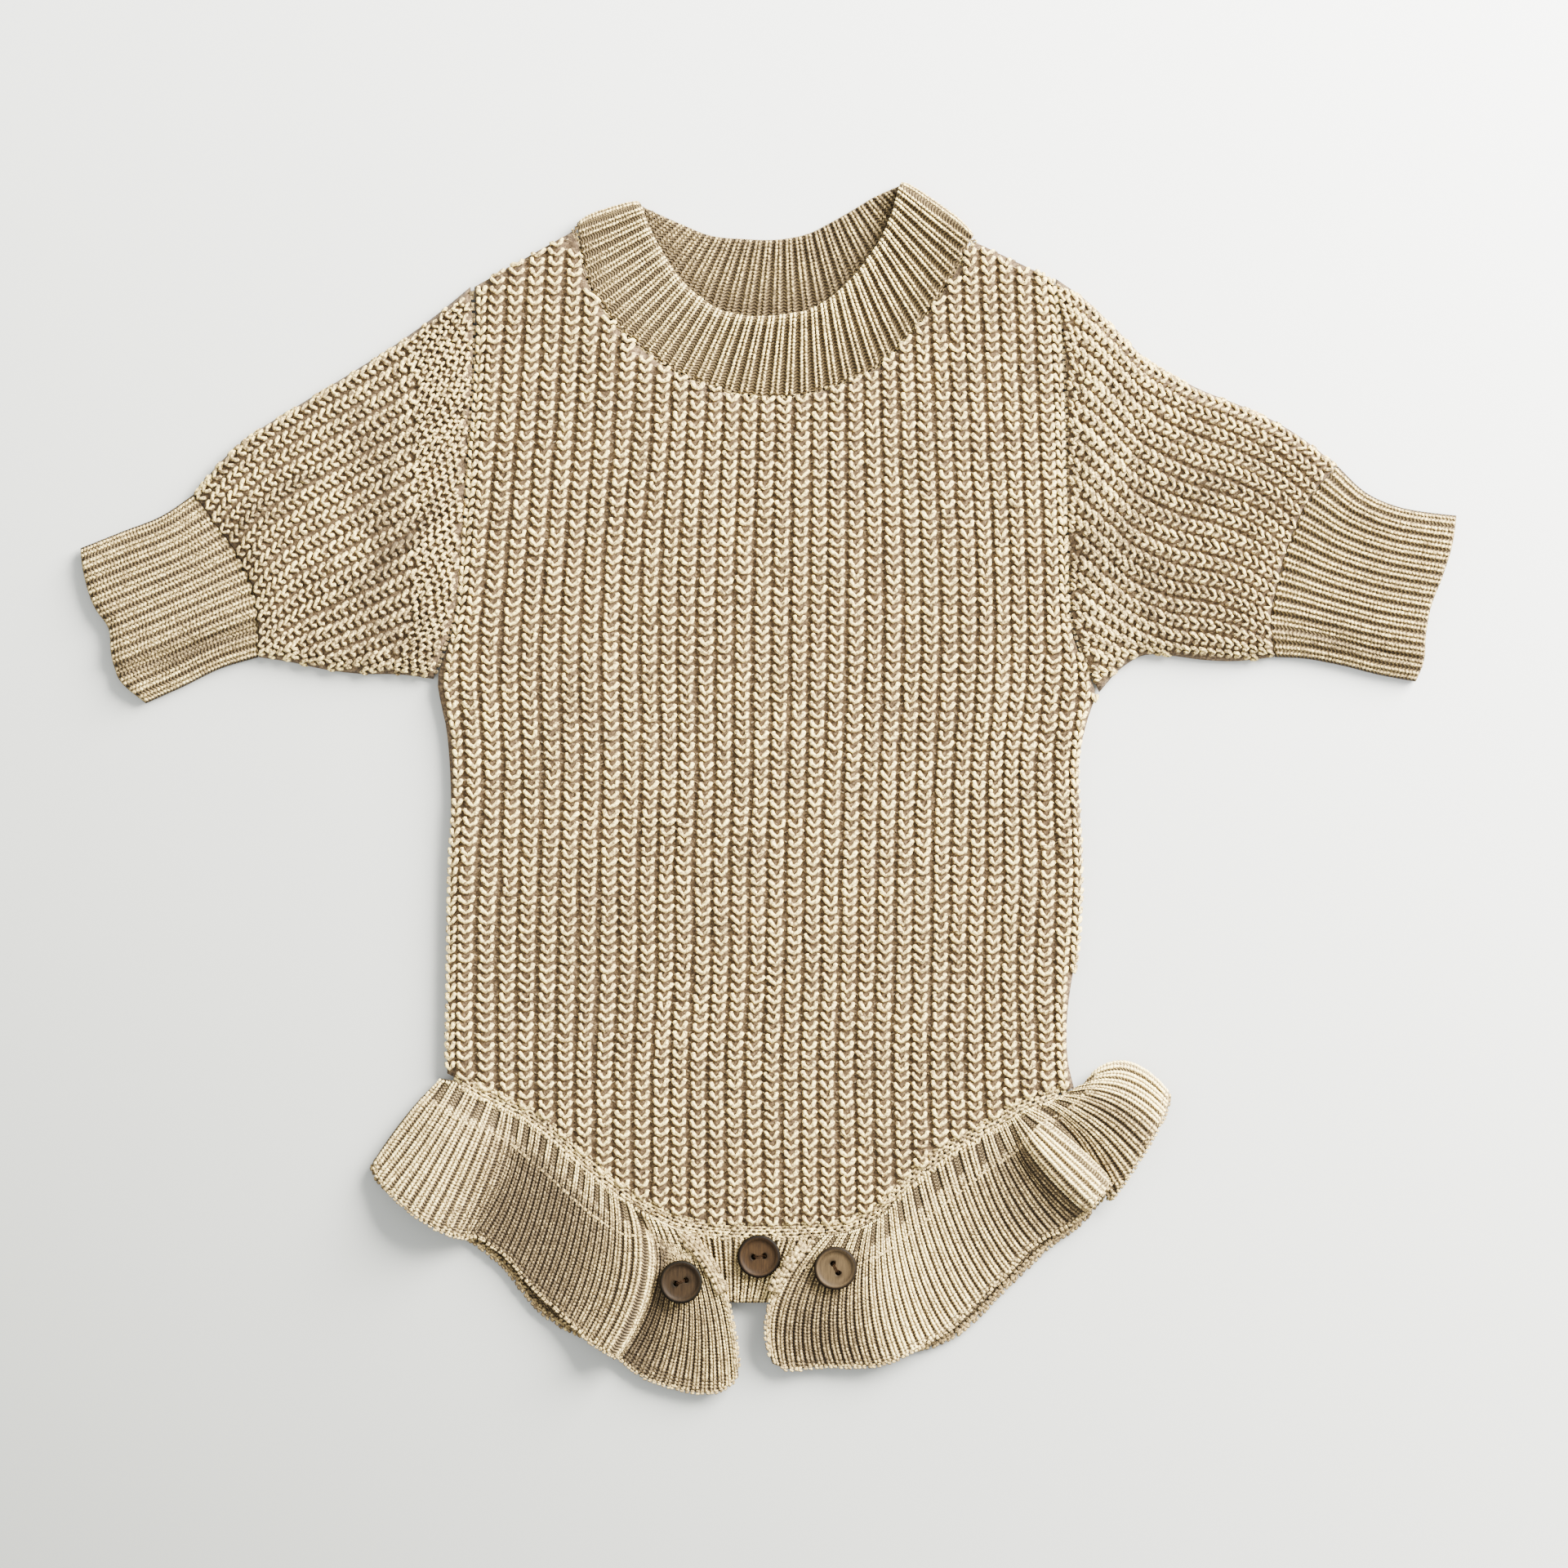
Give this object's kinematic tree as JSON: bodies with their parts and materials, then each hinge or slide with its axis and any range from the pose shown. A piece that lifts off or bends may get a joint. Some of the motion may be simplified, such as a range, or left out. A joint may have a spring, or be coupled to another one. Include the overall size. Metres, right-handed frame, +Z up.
{
  "type": "baby romper",
  "caption": "Knitted baby romper laid flat: ribbed body and short sleeves, ribbed neckband and cuffs, ruffled leg openings, buttoned crotch.",
  "frame": {"origin": "centre of the bounding box, on the surface the romper lies on", "axes": "+X from sleeve to sleeve, towards the wearer's left; +Y from the crotch to the neck; +Z up off the surface, through the front"},
  "size_m": [0.505, 0.4451, 0.0135],
  "materials": {
    "body_knit": "wide ribbed wool or cotton knit, oatmeal",
    "band_knit": "narrow ribbed knit, oatmeal",
    "ruffle_knit": "fine narrow ribbed knit, light oatmeal",
    "button_wood": "turned wood with darkened rim, oiled"
  },
  "bodies": {
    "root": {"front_body": "body_knit", "back_body": "body_knit", "sleeve_left": "body_knit", "sleeve_right": "body_knit", "cuff_left": "band_knit", "cuff_right": "band_knit", "neckband": "band_knit", "ruffle_left": "ruffle_knit", "ruffle_right": "ruffle_knit", "crotch_band_front": "band_knit", "crotch_band_back": "band_knit", "button_left": "button_wood", "button_centre": "button_wood", "button_right": "button_wood"}
  },
  "joints": []
}
